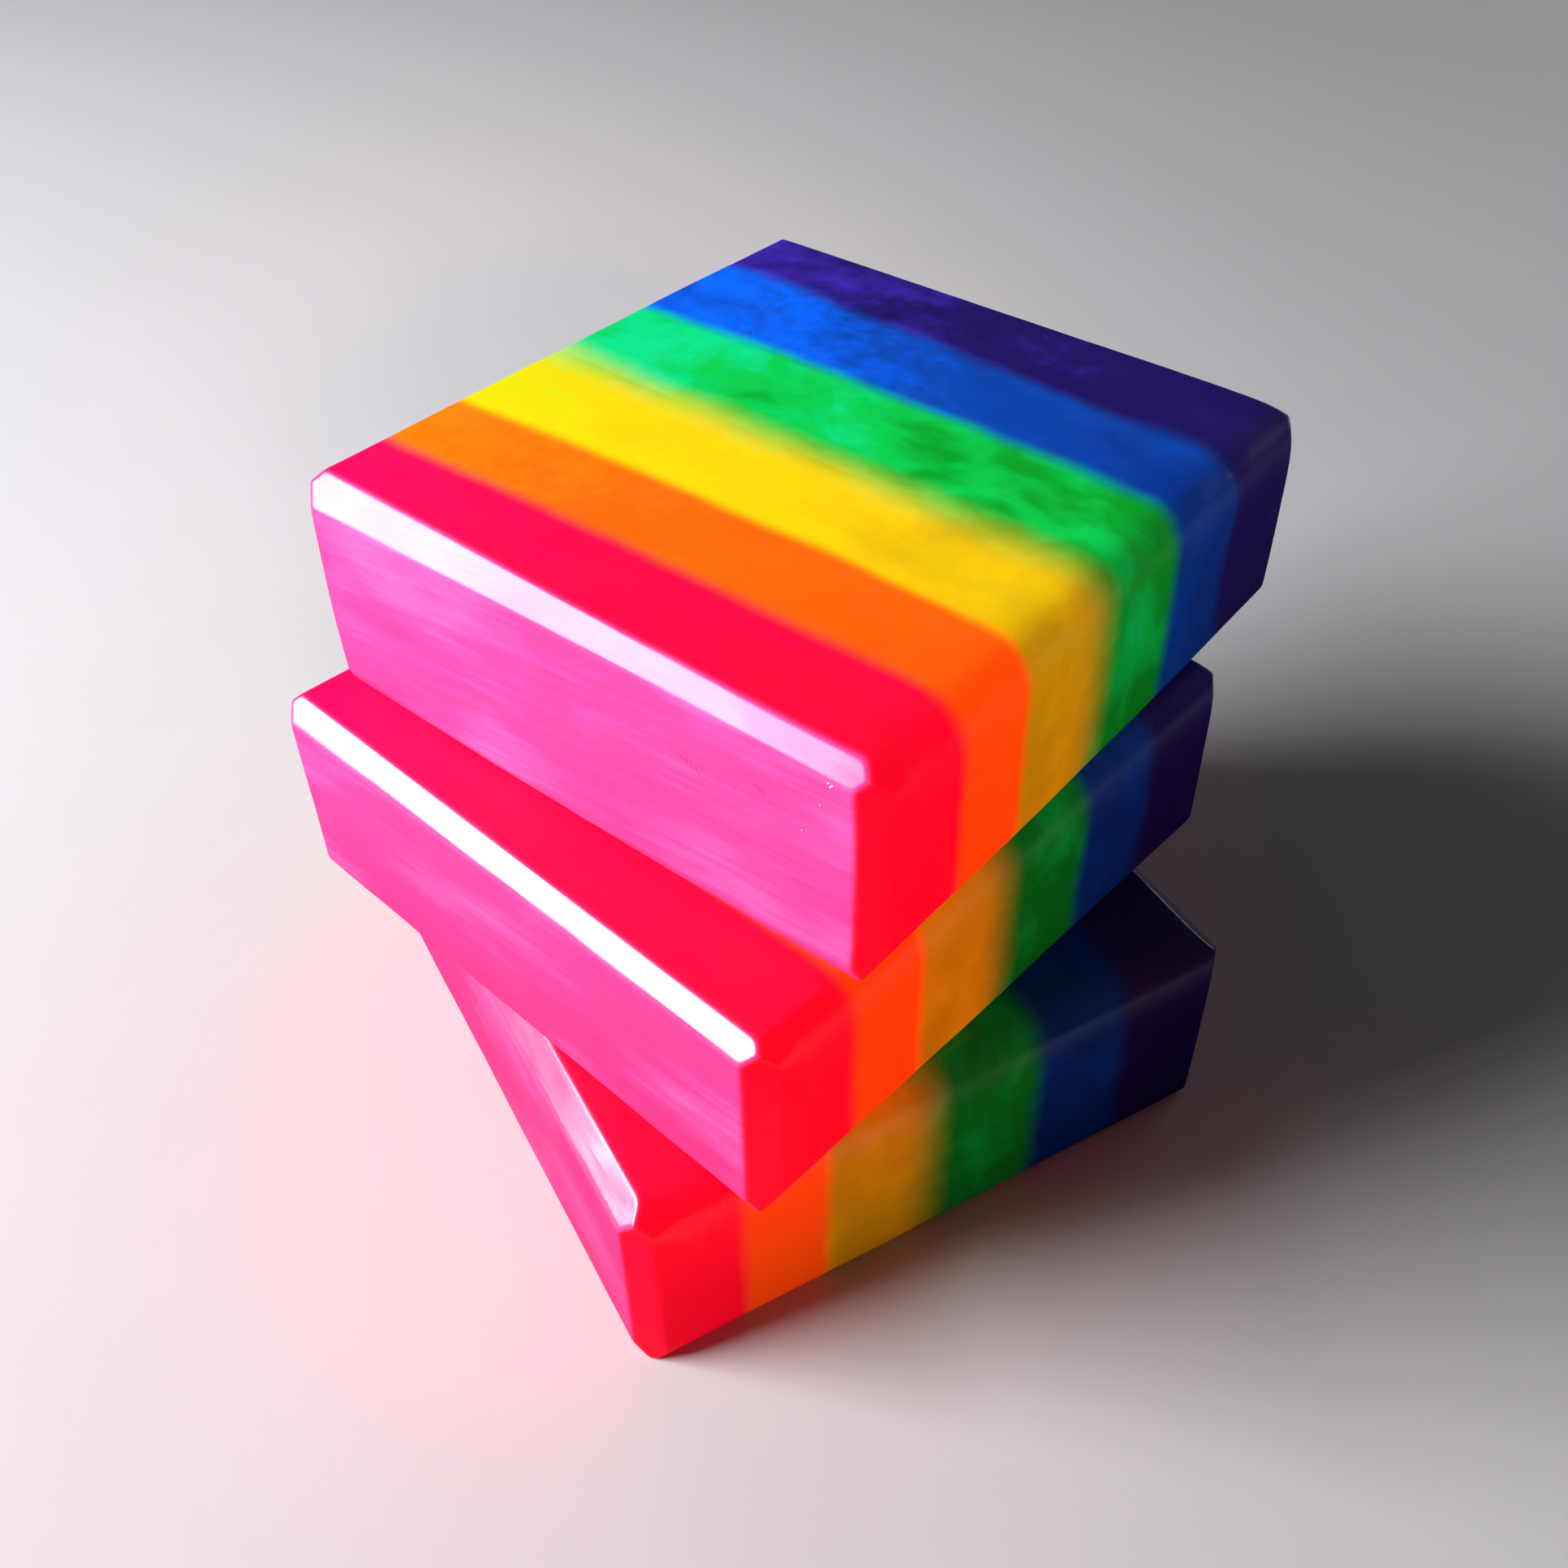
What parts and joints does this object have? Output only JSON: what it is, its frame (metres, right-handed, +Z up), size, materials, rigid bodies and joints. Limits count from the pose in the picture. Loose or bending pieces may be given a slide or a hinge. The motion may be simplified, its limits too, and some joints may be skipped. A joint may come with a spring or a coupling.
{
  "type": "stack of layered soap bars",
  "caption": "Rectangular handmade soap bars in rainbow layers with bevelled edges, stacked flat and fanned so their corners step round; each upper bar lifts off.",
  "frame": {"origin": "middle of the bottom bar's underside, on the surface it rests on", "axes": "+Z up, -Y out of the bottom bar's red face, +Y out of its violet face, +X along its layers"},
  "size_m": [0.0926, 0.0993, 0.0745],
  "materials": {
    "red_soap": "crimson-red soap, satin to glossy",
    "orange_soap": "orange soap, satin",
    "yellow_soap": "warm yellow soap, satin",
    "green_soap": "bright green soap with cloudy patches, satin",
    "blue_soap": "blue soap with cloudy patches, satin",
    "violet_soap": "dark blue-violet soap, satin"
  },
  "bodies": {
    "bottom_bar": {"bottom_bar_red_layer": "red_soap", "bottom_bar_orange_layer": "orange_soap", "bottom_bar_yellow_layer": "yellow_soap", "bottom_bar_green_layer": "green_soap", "bottom_bar_blue_layer": "blue_soap", "bottom_bar_violet_layer": "violet_soap"},
    "middle_bar": {"middle_bar_red_layer": "red_soap", "middle_bar_orange_layer": "orange_soap", "middle_bar_yellow_layer": "yellow_soap", "middle_bar_green_layer": "green_soap", "middle_bar_blue_layer": "blue_soap", "middle_bar_violet_layer": "violet_soap"},
    "top_bar": {"top_bar_red_layer": "red_soap", "top_bar_orange_layer": "orange_soap", "top_bar_yellow_layer": "yellow_soap", "top_bar_green_layer": "green_soap", "top_bar_blue_layer": "blue_soap", "top_bar_violet_layer": "violet_soap"}
  },
  "joints": [
    {"name": "middle_bar_lift", "type": "slide", "parent": "bottom_bar", "child": "middle_bar", "axis": [0, 0, 1], "range_m": [0, 0.06]},
    {"name": "top_bar_lift", "type": "slide", "parent": "middle_bar", "child": "top_bar", "axis": [0, 0, 1], "range_m": [0, 0.06]}
  ]
}
